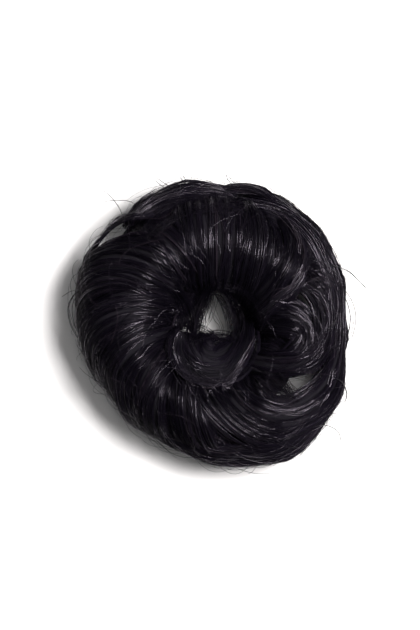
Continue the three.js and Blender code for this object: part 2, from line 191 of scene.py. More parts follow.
# Wisps laid over the locks, where the photo shows them. A wisp has a number of strands, how far apart they
# lie, how light they are from 0 to 1, its points seen from above, in millimetres from the ring's middle,
# and the strands' radius.
WISP_RADIUS = 0.12  # where a row doesn't give one
Wisp = namedtuple("Wisp", "strands spread tint points radius", defaults=[WISP_RADIUS])
WISPS = [
    # The curl's rim, and the strand across the hole
    Wisp(13, 1.2, 0.7, ((-15.9, 1.6), (-20.2, -5.3), (-20.2, -13.9), (-11.3, -28.3), (4.2, -28.8),
                        (14.5, -16.8), (23.2, -1.2))),
    Wisp(1, 0, 0.75, ((-8, 20), (-2.1, 11.9), (1.9, 6.8), (4.2, 2.2), (4.8, -2.4), (3.5, -9))),
    # Dark hairs over the curl and its upper edge
    Wisp(26, 1.3, 0.3, ((-13, -7), (-7, -3.6), (0, -2.4), (7, -3.2), (13, -7)), 0.1),
    Wisp(34, 1.1, 0.2, ((-20, 5), (-13, 2.8), (-7, 0.8), (-1, -2.2), (6, -6))),
    Wisp(14, 2.2, 0.15, ((-13, -8), (-10, -17), (-2, -22.5), (8, -20), (14, -10))),
    # Dark hairs over the right of the hole and along its upper right edge
    Wisp(70, 1.5, 0.2, ((1, 23), (6.5, 17), (10, 10), (11.5, 3), (10, -5))),
    Wisp(16, 1.8, 0.2, ((0, 22), (5, 15), (8, 8), (8.5, 2), (6, -6)), 0.1),
    Wisp(5, 1.5, 0.4, ((3, 22), (8, 16), (12, 9), (13, 1))),
    Wisp(70, 1.2, 0.2, ((-6, 24), (2, 22), (10, 20), (16.5, 15.5), (21.5, 9.5), (25, 3))),
    # Messy hairs left of the hole
    Wisp(130, 1.7, 0.2, ((0, 27), (-3.5, 19), (-7.5, 10), (-9, 3), (-9.5, -4))),
    Wisp(60, 1.5, 0.25, ((-20, 24), (-14, 17), (-10, 8), (-10.5, 0), (-13, -7))),
    Wisp(40, 1.3, 0.3, ((-22, 22), (-17, 14), (-15.5, 7), (-15.5, -1))),
    Wisp(50, 1.4, 0.25, ((-20, 3.5), (-14, 3), (-10, 2.5), (-7, 1))),
    Wisp(10, 1.3, 0.7, ((-25, 14), (-18, 12), (-11, 10), (-6, 6))),
    Wisp(8, 1.5, 0.7, ((-10, 27), (-13, 19), (-18, 12), (-24, 8))),
    Wisp(8, 1.2, 0.7, ((-22, 3), (-16, 4), (-11, 3), (-8, 0))),
    # Across the inner end of the gap at the upper left
    Wisp(70, 1.5, 0.2, ((-45, 44), (-41, 50), (-37, 55), (-32, 60), (-26, 63))),
    # Along the outline at the top, over the ends of the roll's strands
    Wisp(80, 1.9, 0.2, ((-36, 42), (-32, 51), (-26, 57.5), (-16, 62.5), (-4, 65), (8, 64), (19, 58))),
    Wisp(60, 1.6, 0.25, ((-38, 50), (-31, 60), (-20, 66), (-6, 68.5), (6, 67.5), (18, 62))),
    Wisp(16, 1.6, 0.55, ((-42, 55), (-36, 63.5), (-26, 69.5), (-12, 72.5), (2, 72.5), (14, 68))),
    Wisp(8, 1.4, 0.75, ((-36, 60), (-29, 66), (-18, 70), (-5, 71), (6, 69))),
    Wisp(6, 0.8, 0.75, ((-41.2, 61.1), (-36.6, 68), (-29.7, 72.6))),
    # Upper right, from the crease round to the right side
    Wisp(7, 1.2, 0.75, ((30, 69.7), (36.9, 66.9), (45, 60.5), (49.6, 53.7), (54.2, 44.5), (57, 37))),
    Wisp(8, 1.1, 0.75, ((32.3, 64.6), (37.5, 60), (42.1, 53.7), (44.4, 45.6), (43.8, 37))),
    Wisp(4, 0.8, 0.75, ((48.4, 53.7), (51.3, 49.1), (55.3, 45.6), (57.6, 42.2))),
    Wisp(3, 0.8, 0.75, ((45, 34.1), (48.4, 39.9), (49, 43.3))),
    # The swirl on the right
    Wisp(36, 1.4, 0.2, ((33, 27), (38, 31), (44, 34), (50, 34.5), (56, 32))),
    Wisp(40, 1.6, 0.2, ((43, 32), (48, 31), (53, 28), (57, 23), (59, 16))),
    Wisp(5, 0.8, 0.75, ((44.5, 21.7), (48.8, 25.5), (53.7, 27.2), (57, 26.1), (60.5, 21))),
    Wisp(6, 0.9, 0.75, ((45.5, 29.4), (52.6, 30.4), (58, 28.3), (62.4, 22.9), (63.5, 15))),
    Wisp(8, 1, 0.75, ((47.2, 31.5), (52.6, 35.9), (59.1, 32.6), (64, 26.1), (65.9, 18.5),
                      (64, 8.7), (61.3, 2.2))),
    Wisp(3, 0.7, 0.75, ((55.3, 23.8), (58.2, 16.9), (59.3, 9.4))),
    Wisp(7, 1.2, 0.75, ((28.3, 16), (33.5, 18), (39.2, 20.3), (43.8, 23.2))),
    Wisp(7, 1.2, 0.75, ((28.3, 16), (34.6, 14), (42.1, 13.4), (47.9, 11.1), (50.7, 7.1))),
    Wisp(3, 0.7, 0.75, ((45.5, 19.6), (50.4, 20.2), (53.7, 16.9), (53.5, 11))),
    Wisp(12, 1.2, 0.45, ((63.4, 7.4), (59.3, 0.5), (53.6, -6.4), (47.9, -11))),
    Wisp(10, 1, 0.45, ((56.5, -0.6), (51.9, -8.1), (45, -15.6), (33.5, -19.6), (22, -21.3))),
    Wisp(8, 1, 0.45, ((64.5, -8.1), (56.5, -13.3), (45, -17.9))),
    # The sweep from the hole to the lower right
    Wisp(50, 1.5, 0.3, ((-3, -44), (1, -50), (7, -54.5), (15, -57.5), (24, -58))),
    Wisp(60, 1.8, 0.2, ((20, -22), (27, -27.5), (33, -30.5), (38, -32), (44, -36))),
    # Round the gap at the lower right, and across it
    Wisp(30, 1.2, 0.2, ((26, -20), (31, -26), (36, -31), (41, -36))),
    Wisp(16, 0.8, 0.2, ((31, -18), (35.5, -23.5), (39, -29.5), (43.5, -36))),
    Wisp(3, 1.6, 0.3, ((37, -21), (43, -25), (49, -26.5), (57, -24)), 0.09),
    Wisp(7, 1.3, 0.75, ((20.9, -24.8), (24.3, -31.7), (30, -38), (39.2, -40.3), (47.9, -40.8))),
    Wisp(4, 1, 0.75, ((27.7, -25.9), (30, -30.5), (34.6, -34.5), (42.1, -35.1))),
    Wisp(5, 1.2, 0.75, ((10.5, -29.4), (16.3, -36.2), (23.2, -42))),
    Wisp(5, 1.2, 0.75, ((61.1, -16.7), (60.5, -24.8), (56.5, -35.1), (50.7, -42))),
    Wisp(9, 1.1, 0.75, ((4.8, -61.5), (22, -58.1), (33.5, -55.2), (42.1, -51.2), (47.3, -44.3))),
    Wisp(4, 0.9, 0.75, ((-6.1, -44.3), (-3.3, -50), (1.9, -54.1), (8.2, -56.9))),
    Wisp(5, 1, 0.75, ((-6.7, -56.4), (-1, -60.4), (7.6, -61.5), (19.1, -60.4))),
    # Hairs that stand off the outline
    Wisp(1, 0, 0.4, ((-60.5, 74.4), (-54.3, 70.8), (-49, 64.5), (-46, 58)), 0.2),
    Wisp(1, 0, 0.4, ((-62.6, 64.6), (-53.3, 67.2), (-43, 66.8), (-36, 62)), 0.2),
    Wisp(2, 0.8, 0.4, ((-31, 81), (-28, 77), (-22, 73), (-14, 70)), 0.2),
    Wisp(2, 0.8, 0.4, ((-18, 82), (-16, 77.5), (-10, 73), (-3, 71)), 0.2),
    Wisp(2, 0.8, 0.4, ((6, 83), (8, 77), (14, 72), (22, 69)), 0.2),
    Wisp(3, 0.8, 0.4, ((-64, 25), (-70, 20), (-74, 13), (-73, 4), (-69, -4)), 0.2),
    Wisp(1, 0, 0.4, ((-78, 17.6), (-73, 20.5), (-66, 21)), 0.2),
    Wisp(4, 0.9, 0.4, ((62, 26), (69, 18), (72, 8), (70, -3), (65, -10)), 0.2),
    Wisp(2, 0.7, 0.4, ((60, 34), (69, 31), (75, 26), (80, 21)), 0.2),
    Wisp(2, 0.9, 0.4, ((58, -22), (66, -26), (69, -33), (66, -40)), 0.2),
    Wisp(1, 0, 0.4, ((52, -44), (61, -42.4), (72, -41)), 0.2),
    Wisp(2, 0.7, 0.4, ((48, -50), (57, -48), (64, -51), (66, -57)), 0.2),
    # Loose curls at the left
    Wisp(3, 0.7, 0.5, ((-38.9, 9.7), (-44.6, 5.7), (-47.8, -2.4), (-46.4, -11), (-43.5, -15)), 0.1),
    Wisp(2, 0.8, 0.5, ((-43.8, -21.3), (-42.3, -26.5), (-39.5, -30.5)), 0.1),
    Wisp(2, 0.6, 0.5, ((-29.1, -30.2), (-24.5, -29.1), (-18.8, -25.9)), 0.1),
    Wisp(2, 0.6, 0.5, ((-37.7, -29.4), (-33.7, -32.8), (-30.8, -37.1)), 0.1),
    Wisp(2, 0.5, 0.5, ((-32, -41.1), (-27.4, -41.7), (-22.8, -40.6)), 0.1),
    Wisp(2, 0.5, 0.5, ((-19.1, -46.6), (-18.6, -43), (-18.8, -39.7)), 0.1),
    Wisp(5, 0.9, 0.75, ((-14.2, -44.3), (-12.5, -50), (-7.9, -56.4), (-5, -59.8)), 0.09),
    Wisp(2, 0.6, 0.45, ((-46.9, 35.3), (-44.6, 41.6), (-39.5, 46.2), (-35.4, 51.9))),
    Wisp(2, 0.6, 0.5, ((-34.3, 49.1), (-27.4, 49.1), (-21.7, 46.8)), 0.1),
    Wisp(2, 0.5, 0.5, ((-28.6, 17.5), (-24, 16.9), (-19.9, 15.7)), 0.1),
    Wisp(2, 0.5, 0.5, ((-12.5, 19.2), (-10.5, 22.5), (-9, 25.5)), 0.1),
]
WISP_SHINY_TINT = 0.5  # a lighter wisp is glossy
WISP_TINT_SPREAD = 0.14
WISP_RADIUS_RANGE = (0.75, 1.25)  # of a strand, as a share of its wisp's radius
WISP_STAGGER = 0.2  # share of a wisp's length within which its strands begin, and end
WISP_STEPS = 4  # for each point
WISP_BULGE = 0.5  # share of its spread that a wisp has where it is drawn together
WISP_BULGE_SHIFT = 0.3  # share of its length by which a strand spreads earlier or later

# How hairs are laid on the locks
STRAY_LIFT = (0.9, 1.8)
SLOW_START = 1.5  # power by which a hair leaves its run slowly at first
FREE_SLOPE = 0.4  # how steeply a hair rises or droops, at most, where nothing is below
SPANNING_PASSES = 2  # that keep a hair up beside the bumps below it
SMOOTHING_PASSES = 20
ABOVE_ALL = 0.2  # metres
UP = (0.0, 0.0, 1.0)
DOWN = (0.0, 0.0, -1.0)

# Single hairs that stray from the locks' run
STRAYS_PER_LOCK = 10
STRAY_STEPS = 18
STRAY_RADIUS = (0.07, 0.12)
STRAY_TINT = (0.3, 0.8)
STRAY_START = (0.05, 0.6)  # share of the lock's length at which a hair leaves its run
STRAY_REACH = (0.2, 0.5)  # share over which it goes on
STRAY_LAST = 0.97  # share at which it ends at the latest
STRAY_DRIFT = 0.6  # how far it goes aside, as a share of the lock's half width
STRAY_CURL = 0.25  # how far it curls, as the same share

# Hairs that stand off the outline
FLYAWAY_COUNT = 170
FLYAWAY_STEPS = 22
FLYAWAY_RADIUS = (0.072, 0.117)
FLYAWAY_TINT = (0.2, 0.9)
FLYAWAY_ROOT = 2  # depth at which they begin
FLYAWAY_REACH = (1, 5.5)
FLYAWAY_SWEEP = (9, 28)  # degrees round the ring
FLYAWAY_WRAP = (-10, 75)  # degrees round the roll
FLYAWAY_CURL = (3, 24)  # degrees round the ring and round the roll
FLYAWAY_CURLS = (0.6, 1.6)  # half waves of curl along a hair
FLYAWAY_ARC = (0.4, 0.9)  # share of a half wave by which a hair rises

# Lights have degrees round from +X and above the table, the side of the square in metres, watts, whether
# they fall on matte surfaces, and whether they show in shiny ones.
Light = namedtuple("Light", "name azimuth elevation size power on_matte on_shiny")
LIGHTS = [
    Light("key", 20, 63, 0.5, 36, True, True),
    Light("overhead", 60, 84, 0.35, 4.7, False, True),
    Light("fill", 60, 87, 0.35, 1.5, True, False),
]
LIGHT_DISTANCE = 1.3
LIGHT_COLOUR = (1.0, 0.97, 0.96)
SKY_STRENGTH = 0.125
FLOOR_HALF_SIDE = 6  # metres


def ring_centre():
    low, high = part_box("elastic_band")
    return np.array([(low[0] + high[0]) / 2, (low[1] + high[1]) / 2, 0.0])


RING_CENTRE = ring_centre()


# The form and the locks on it

def smooth_between(a, b, c, d, t):
    """A smooth curve from b at t = 0 to c at t = 1, with a before them and d after them."""
    square = 2 * a - 5 * b + 4 * c - d
    cube = 3 * b - a - 3 * c + d
    return 0.5 * (2 * b + (c - a) * t + square * t ** 2 + cube * t ** 3)


def outline_reach(turn):
    """How far the outline reaches at an angle, smoothly between the rows of its table."""
    place = np.mod(turn, 360) / OUTLINE_STEP
    row = np.floor(place).astype(int)
    reaches = (OUTLINE_REACH[(row + k) % len(OUTLINE_REACH)] for k in (-1, 0, 1, 2))
    return smooth_between(*reaches, place - row)


def roll_at(turn):
    """The radius of the roll's axis round the hole, and half the roll's width."""
    reach = outline_reach(turn)
    return (reach + HOLE_RADIUS) / 2, (reach - HOLE_RADIUS) / 2


def form_point(turn, wrap, depth):
    """A point at a depth below the form's surface, in metres in the row frame."""
    axis, half = roll_at(turn)
    around = np.radians(turn)
    over = np.radians(wrap)
    r = axis + (half - depth) * np.cos(over)
    z = ROLL_CENTRE_Z + (ROLL_HALF_HEIGHT - depth) * np.sin(over)
    return np.stack([r * np.cos(around), r * np.sin(around), z], -1) * MM + RING_CENTRE


def form_normal(turn, wrap):
    around = np.radians(turn)
    over = np.radians(wrap)
    return np.stack([np.cos(over) * np.cos(around), np.cos(over) * np.sin(around), np.sin(over)], -1)


def path(lock, s):
    """Turn and wrap of a lock's middle line at a share of its length."""
    turn = lock.turn[0] + (lock.turn[1] - lock.turn[0]) * s ** lock.bend
    wrap = lock.wrap[0] + (lock.wrap[1] - lock.wrap[0]) * s + lock.bow * np.sin(np.pi * s)
    return turn, wrap


def degree_sizes(turn, wrap):
    """Millimetres that a degree of turn and a degree of wrap take on the form's surface."""
    axis, half = roll_at(turn)
    r = axis + half * np.cos(np.radians(wrap))
    return np.radians(r), np.radians((half + ROLL_HALF_HEIGHT) / 2)


def heading(lock, s):
    """Unit direction of a lock's middle line on the form's surface, along turn and along wrap."""
    near = 1e-3
    turn_a, wrap_a = path(lock, np.maximum(s - near, 0))
    turn_b, wrap_b = path(lock, np.minimum(s + near, 1))
    turn_size, wrap_size = degree_sizes((turn_a + turn_b) / 2, (wrap_a + wrap_b) / 2)
    along_turn = (turn_b - turn_a) * turn_size
    along_wrap = (wrap_b - wrap_a) * wrap_size
    length = np.hypot(along_turn, along_wrap)
    return along_turn / length, along_wrap / length


def through_three(values, s):
    """The value at a share of the length of a curve through a start, a middle and an end value."""
    start, middle, end = values
    return start * (2 * s - 1) * (s - 1) + middle * 4 * s * (1 - s) + end * s * (2 * s - 1)


def lock_point(lock, s, across, up):
    """Points of a lock and the form's normal there. across and up are shares of the lock's half section."""
    middle_turn, middle_wrap = path(lock, s)
    along_turn, along_wrap = heading(lock, s)
    turn_size, wrap_size = degree_sizes(middle_turn, middle_wrap)
    thick = through_three(lock.thick, s)
    aside = across * through_three(lock.width, s)
    depth = through_three(lock.sink, s) + thick + aside * lock.tilt - up * thick
    turn = middle_turn - aside * along_wrap / turn_size
    wrap = middle_wrap + aside * along_turn / wrap_size
    return form_point(turn, wrap, depth), form_normal(turn, wrap)


def lock_length(lock):
    samples = 60
    s = np.linspace(0, 1, samples)
    points, _ = lock_point(lock, s, np.zeros(samples), np.zeros(samples))
    return np.linalg.norm(np.diff(points, axis=0), axis=1).sum() / MM


def ring_point(turn, wrap, radius, half_thick):
    """A point of a plain ring round the hole, such as the elastic."""
    around = np.radians(turn)
    over = np.radians(wrap)
    r = radius + half_thick * np.cos(over)
    z = RING_Z + half_thick * np.sin(over)
    return np.stack(np.broadcast_arrays(r * np.cos(around), r * np.sin(around), z), -1) * MM + RING_CENTRE


# Meshes

def add_object(name, data):
    added = bpy.data.objects.new(name, data)
    bpy.context.scene.collection.objects.link(added)
    return added


class Shell:
    """Parts that are joined into one mesh, with a bake coordinate for each corner."""

    def __init__(self):
        self.parts = []
        self.count = 0

    def add(self, vertices, quads, triangles, quad_uv, triangle_uv, slot):
        vertices = vertices.reshape(-1, 3)
        quads = quads.reshape(-1, 4) + self.count
        triangles = triangles.reshape(-1, 3) + self.count
        uv = (quad_uv.reshape(-1, 2), triangle_uv.reshape(-1, 2))
        slots = (np.full(len(quads), slot), np.full(len(triangles), slot))
        self.parts.append((vertices, quads, triangles, *uv, *slots))
        self.count += len(vertices)

    def to_object(self, name, *materials):
        columns = [np.concatenate(column) for column in zip(*self.parts)]
        vertices, quads, triangles, quad_uv, triangle_uv, quad_slots, triangle_slots = columns
        corners = np.concatenate([quads.ravel(), triangles.ravel()])
        starts = np.concatenate([
            np.arange(len(quads)) * 4,
            len(quads) * 4 + np.arange(len(triangles)) * 3,
        ])
        mesh = bpy.data.meshes.new(name)
        mesh.vertices.add(len(vertices))
        mesh.vertices.foreach_set("co", vertices.ravel().astype(np.float32))
        mesh.loops.add(len(corners))
        mesh.loops.foreach_set("vertex_index", corners.astype(np.int32))
        mesh.polygons.add(len(starts))
        mesh.polygons.foreach_set("loop_start", starts.astype(np.int32))
        slots = np.concatenate([quad_slots, triangle_slots])
        mesh.polygons.foreach_set("material_index", slots.astype(np.int32))
        uv_layer = mesh.uv_layers.new(name="OFBake")
        uv = np.concatenate([quad_uv, triangle_uv])
        uv_layer.data.foreach_set("uv", uv.ravel().astype(np.float32))
        mesh.update(calc_edges=True)
        mesh.polygons.foreach_set("use_smooth", np.ones(len(starts), dtype=bool))
        mesh.validate()
        for material in materials:
            mesh.materials.append(material)
        return add_object(name, mesh)


def tube_uv(tints, steps):
    """Bake coordinates of the sides of strands: u is the strand's tint, and v runs along the strand."""
    u = tints[:, None, None] + STRAND_TEXEL * np.arange(STRAND_SIDES)
    v = np.linspace(STRAND_MARGIN, 1 - STRAND_MARGIN, steps)[:, None]
    before = v[:-1]
    after = v[1:]
    corners = [(u, before), (u + STRAND_TEXEL, before), (u + STRAND_TEXEL, after), (u, after)]
    return np.stack([np.stack(np.broadcast_arrays(*corner), -1) for corner in corners], -2)


def tube_end_uv(tints):
    """Bake coordinates of the triangles that close the two ends of strands."""
    u = tints[:, None, None] + STRAND_TEXEL * np.array([0, 1, 1])
    v = np.array([[STRAND_MARGIN], [1 - STRAND_MARGIN]]) + STRAND_TEXEL * np.array([0, 0, 1])
    return np.stack(np.broadcast_arrays(u, v), -1)


def add_tubes(shell, points, normals, radii, tints, slot):
    """Closed tubes along strands. Points and normals are (strands, steps, 3), radii (strands, steps)."""
    strands, steps, _ = points.shape
    along = np.gradient(points, axis=1)
    along /= np.linalg.norm(along, axis=2, keepdims=True)
    aside = np.cross(along, normals)
    aside /= np.linalg.norm(aside, axis=2, keepdims=True)
    out = np.cross(aside, along)
    angles = 2 * np.pi * np.arange(STRAND_SIDES) / STRAND_SIDES
    ring = np.cos(angles)[:, None] * out[:, :, None] + np.sin(angles)[:, None] * aside[:, :, None]
    vertices = points[:, :, None, :] + radii[:, :, None, None] * ring
    index = np.arange(strands * steps * STRAND_SIDES).reshape(strands, steps, STRAND_SIDES)
    following = np.roll(index, -1, axis=2)
    quads = np.stack([index[:, :-1], following[:, :-1], following[:, 1:], index[:, 1:]], -1)
    triangles = np.stack([index[:, 0, ::-1], index[:, -1, :]], 1)
    shell.add(vertices, quads, triangles, tube_uv(tints, steps), tube_end_uv(tints), slot)


def loft_quads(along, around):
    """Vertex numbers of the quads of a skin over rings that lie one after another."""
    index = np.arange(along * around).reshape(along, around)
    following = np.roll(index, -1, axis=1)
    return np.stack([index[:-1], following[:-1], following[1:], index[1:]], -1)


def grid_uv(u, v):
    """Bake coordinates of the quads of a grid, from its u round and its v along."""
    grid = np.stack(np.meshgrid(u, v), -1)
    return np.stack([grid[:-1, :-1], grid[:-1, 1:], grid[1:, 1:], grid[1:, :-1]], -2)


def add_closed_loft(shell, rings, first, last, slot):
    """A closed skin over rings (along, around, 3), with a point at each end."""
    along, around, _ = rings.shape
    vertices = np.concatenate([rings.reshape(-1, 3), first[None], last[None]])
    quads = loft_quads(along, around)
    v = np.linspace(UNDERCOAT_MARGIN, 1 - UNDERCOAT_MARGIN, along)
    uv = grid_uv(np.arange(around + 1) / around, v)
    first_point = np.full(around, along * around)
    first_cap = np.stack([quads[0, :, 1], quads[0, :, 0], first_point], -1)
    last_cap = np.stack([quads[-1, :, 3], quads[-1, :, 2], first_point + 1], -1)
    tip = np.array([0, UNDERCOAT_CAP])
    first_uv = np.stack([uv[0, :, 1], uv[0, :, 0], uv[0, :, 0] - tip], -2)
    last_uv = np.stack([uv[-1, :, 3], uv[-1, :, 2], uv[-1, :, 3] + tip], -2)
    caps = np.concatenate([first_cap, last_cap])
    caps_uv = np.concatenate([first_uv, last_uv])
    shell.add(vertices, quads, caps, uv, caps_uv, slot)


def add_closed_ring(shell, rings, slot):
    """A skin that closes on itself both ways over rings (along, around, 3)."""
    along, around, _ = rings.shape
    quads = loft_quads(along + 1, around) % (along * around)
    uv = grid_uv(np.arange(around + 1) / around, np.arange(along + 1) / along)
    shell.add(rings, quads, np.empty((0, 3), dtype=int), uv, np.empty((0, 2)), slot)


def finish_piece(piece, slot, *nodes):
    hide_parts(*nodes)
    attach(piece, "root")


# Hair

def end_taper(s, length):
    """How much of its section a lock has, drawn together toward its ends."""
    reach = np.clip(np.minimum(s, 1 - s) * length / END_TAPER, 0, 1)
    return END_SHARE + (1 - END_SHARE) * reach * (2 - reach)


def upper_edge(half_width, half_thick):
    """Angles round a section over its upper side and its edges, with the distance walked to each."""
    samples = 400
    angle = np.linspace(*np.radians(UPPER_SIDE), samples)
    pace = np.hypot(half_width * np.sin(angle), half_thick * np.cos(angle))
    walked = np.cumsum(pace) * (angle[1] - angle[0])
    return angle, walked - walked[0]


def keep_above_floor(points):
    points[..., 2] = np.maximum(points[..., 2], FLOOR_GAP * MM)


def undercoat_rings(lock):
    """The skin below a lock's strands, as rings (along, around, 3) and its two end points."""
    length = lock_length(lock)
    steps = max(UNDERCOAT_FEWEST, int(length / UNDERCOAT_STEP))
    s = np.linspace(*UNDERCOAT_REACH, steps)[:, None]
    angle = 2 * np.pi * np.arange(UNDERCOAT_SIDES) / UNDERCOAT_SIDES
    share = UNDERCOAT_SHARE * end_taper(s, length)
    grid_s = np.broadcast_to(s, (steps, UNDERCOAT_SIDES))
    rings, _ = lock_point(lock, grid_s, -np.cos(angle) * share, np.sin(angle) * share)
    ends, _ = lock_point(lock, np.array(UNDERCOAT_TIPS), np.zeros(2), np.zeros(2))
    keep_above_floor(rings)
    keep_above_floor(ends)
    return rings, ends


def wave(rng, clump, s, rates):
    """A sine along the strands, with a rate and a start of its own for each clump."""
    rate = rates[clump][:, None]
    start = rng.random(len(rates))[clump][:, None]
    return np.sin(2 * np.pi * (rate * s + start))


def strand_tubes(shell, points, normals, radius, tints, slot):
    """Strands that thin out toward both ends."""
    share = np.linspace(0, 1, points.shape[1])
    half_wave = np.sin(np.pi * (STRAND_INSET + (1 - 2 * STRAND_INSET) * share))
    taper = STRAND_TIP + (1 - STRAND_TIP) * half_wave
    keep_above_floor(points)
    add_tubes(shell, points, normals, radius[:, None] * taper * MM, tints, slot)


def buried(points, normals, surface):
    """Which strands lie below other hair over nearly all their length. Every second point is looked at."""
    points = points[:, ::2]
    normals = normals[:, ::2]
    covered = np.zeros(points.shape[:2], dtype=bool)
    for place in np.ndindex(covered.shape):
        start = Vector(points[place] + normals[place] * BURIED_START * MM)
        hit, _, _, _ = surface.ray_cast(start, Vector(normals[place]), BURIED_DEPTH * MM)
        covered[place] = hit is not None
    return covered.mean(1) > BURIED_SHARE


def places_in_clump(rng, clumps, clump, s):
    """Where strands lie beside and above the middle of their clump's section, which turns on its way."""
    one_each = (len(clump), 1)
    from_middle = np.sqrt(rng.random(one_each))
    twist = rng.normal(0, CLUMP_TWIST, clumps)[clump][:, None]
    spin = 2 * np.pi * (rng.random(one_each) + twist * s)
    return from_middle * np.cos(spin), from_middle * np.sin(spin)


def distance_across(rng, clumps, clump, s, beside, whole):
    """How far across the lock strands lie: the clump's own place, its sway, and its changing breadth."""
    middle = (np.arange(clumps) + rng.uniform(*CLUMP_PLACE, clumps)) * whole / clumps
    sway = CLUMP_SWAY * rng.normal(0, 1, clumps)[clump][:, None]
    opening = wave(rng, clump, s, rng.uniform(*BREADTH_CHANGES, clumps))
    breadth = CLUMP_BREADTH + BREADTH_CHANGE * opening
    swing = wave(rng, clump, s, rng.uniform(*CLUMP_SWAYS, clumps))
    return middle[clump][:, None] + sway * swing + beside * breadth * CLUMP_WIDTH


def height_above(rng, clumps, clump, s, above, angle, length):
    """How far strands stand off the lock: the clump's own height, wave and dome, and the lock's wave."""
    height = CLUMP_LIFT * rng.normal(0, 1, clumps)[clump][:, None]
    wave_size = rng.uniform(*WAVE_SIZE, clumps)[clump][:, None]
    rates = length / rng.uniform(*WAVE_LENGTH, clumps)
    lift = height + wave_size * wave(rng, clump, s, rates)
    lock_rate = length / rng.uniform(*LOCK_WAVE_LENGTH)
    slant = LOCK_WAVE_SLANT * np.cos(angle)
    lock_wave = np.sin(2 * np.pi * (lock_rate * s + slant + rng.random()))
    return lift + CLUMP_DOME * above + LOCK_WAVE_SIZE * lock_wave


def strand_looks(rng, lock, clumps, clump, loose):
    """Radius and tint of a lock's strands, and which of them are glossy."""
    count = len(clump)
    radius = rng.uniform(*STRAND_RADIUS, count) * np.where(loose, LOOSE_THICKNESS, 1.0)
    clump_tint = CLUMP_TINT * rng.beta(*CLUMP_TINT_SHAPE, clumps)[clump]
    tints = np.clip(clump_tint + rng.normal(*TINT_CHANGE, count), *TINT_RANGE)
    shiny = rng.random(count) < lock.shine
    radius = np.where(shiny, rng.uniform(*SHINY_RADIUS, count), radius)
    return radius, tints, shiny


def add_lock_strands(shell, lock, surface, rng):
    length = lock_length(lock)
    half_width = lock.width[1]
    half_thick = lock.thick[1]
    angles, walked = upper_edge(half_width, half_thick)
    clumps = max(FEWEST_CLUMPS, round(walked[-1] / CLUMP_WIDTH))
    clump = np.repeat(np.arange(clumps), STRANDS_PER_CLUMP)
    count = len(clump)
    steps = max(FEWEST_STEPS, int(length / STRAND_STEP))
    begin = rng.uniform(0.0, BEGIN_WITHIN, count)[:, None]
    finish = 1 - rng.uniform(0.0, END_WITHIN, count)[:, None]
    s = begin + (finish - begin) * np.linspace(0, 1, steps)
    beside, above = places_in_clump(rng, clumps, clump, s)
    place = distance_across(rng, clumps, clump, s, beside, walked[-1])
    angle = np.interp(place, walked, angles)
    lift = height_above(rng, clumps, clump, s, above, angle, length)
    loose = rng.random(count) < LOOSE_SHARE
    stand_off = np.where(loose, rng.uniform(*LOOSE_LIFT, count), 0)[:, None]
    lift = lift + stand_off * np.sin(np.pi * (s - begin) / (finish - begin)) ** 2
    narrow = end_taper(s, length)
    across = np.cos(angle) * (narrow + lift / half_width)
    up = np.sin(angle) * (narrow + lift / half_thick)
    points, normals = lock_point(lock, s, across, up)
    radius, tints, shiny = strand_looks(rng, lock, clumps, clump, loose)
    shown = ~buried(points, normals, surface)
    for slot, chosen in ((STRAND, shown & ~shiny), (SHINY, shown & shiny)):
        strand_tubes(shell, points[chosen], normals[chosen], radius[chosen], tints[chosen], slot)


def make_lock(lock, surface, looks, rng):
    shell = Shell()
    rings, ends = undercoat_rings(lock)
    add_closed_loft(shell, rings, *ends, UNDERCOAT)
    add_lock_strands(shell, lock, surface, rng)
    piece = shell.to_object("hair_" + lock.node[len("lock_"):], *looks)
    finish_piece(piece, "hair", lock.node)


def add_wound_strands(shell, reach, rng):
    """Strands over the wound roll, from one edge of its mouth to the other."""
    count = WOUND_STRANDS
    one_each = (count, 1)
    share = np.linspace(0, 1, WOUND_STRAND_STEPS)
    start = rng.uniform(0, 360, one_each)
    pitch = rng.uniform(*WOUND_PITCH, one_each)
    sway = WOUND_SWAY * np.sin(2 * np.pi * (share + rng.random(one_each)))
    turn = start + pitch * share + sway
    wrap = np.broadcast_to(-reach + 2 * reach * share, turn.shape)
    half = WOUND_HALF_THICK - rng.uniform(0, WOUND_STRAND_DEPTH, one_each)
    points = ring_point(turn, wrap, WOUND_RADIUS, half)
    radius = rng.uniform(*WOUND_STRAND_RADIUS, count)
    tints = np.clip(rng.beta(*WOUND_TINT_SHAPE, count), *WOUND_TINT_RANGE)
    strand_tubes(shell, points, form_normal(turn, wrap), radius, tints, STRAND)


def make_wound_roll(looks, rng):
    """Hair wound over the elastic, open toward the hole."""
    shell = Shell()
    reach = 180 - WOUND_MOUTH
    over = np.linspace(-reach, reach, WOUND_SIDES)
    outer, inner = (WOUND_HALF_THICK - depth for depth in WOUND_SKIN)
    section = [(outer, wrap) for wrap in over] + [(inner, wrap) for wrap in over[::-1]]
    turn = np.linspace(0, 360, WOUND_STEPS, endpoint=False)
    rings = np.stack([ring_point(turn, wrap, WOUND_RADIUS, half) for half, wrap in section], 1)
    add_closed_ring(shell, rings, UNDERCOAT)
    add_wound_strands(shell, reach, rng)
    finish_piece(shell.to_object("hair_wound_roll", *looks), "hair", "wound_roll")


def make_elastic(material):
    """The elastic ring, with the slanting ribs of its knitted cover crossing both ways."""
    turn = np.linspace(0, 360, ELASTIC_STEPS, endpoint=False)[:, None]
    wrap = np.linspace(0, 360, ELASTIC_SIDES, endpoint=False)
    along = ELASTIC_RIBS * turn / 2
    around = ELASTIC_RIB_STARTS * wrap
    ribs = np.maximum(np.sin(np.radians(along + around)), np.sin(np.radians(along - around)))
    half = ELASTIC_HALF_THICK - ELASTIC_RIB_HEIGHT * (1 - ribs)
    shell = Shell()
    add_closed_ring(shell, ring_point(turn, wrap, ELASTIC_RADIUS, half), 0)
    finish_piece(shell.to_object("elastic", material), "elastic", "elastic_band")


# Stray hairs

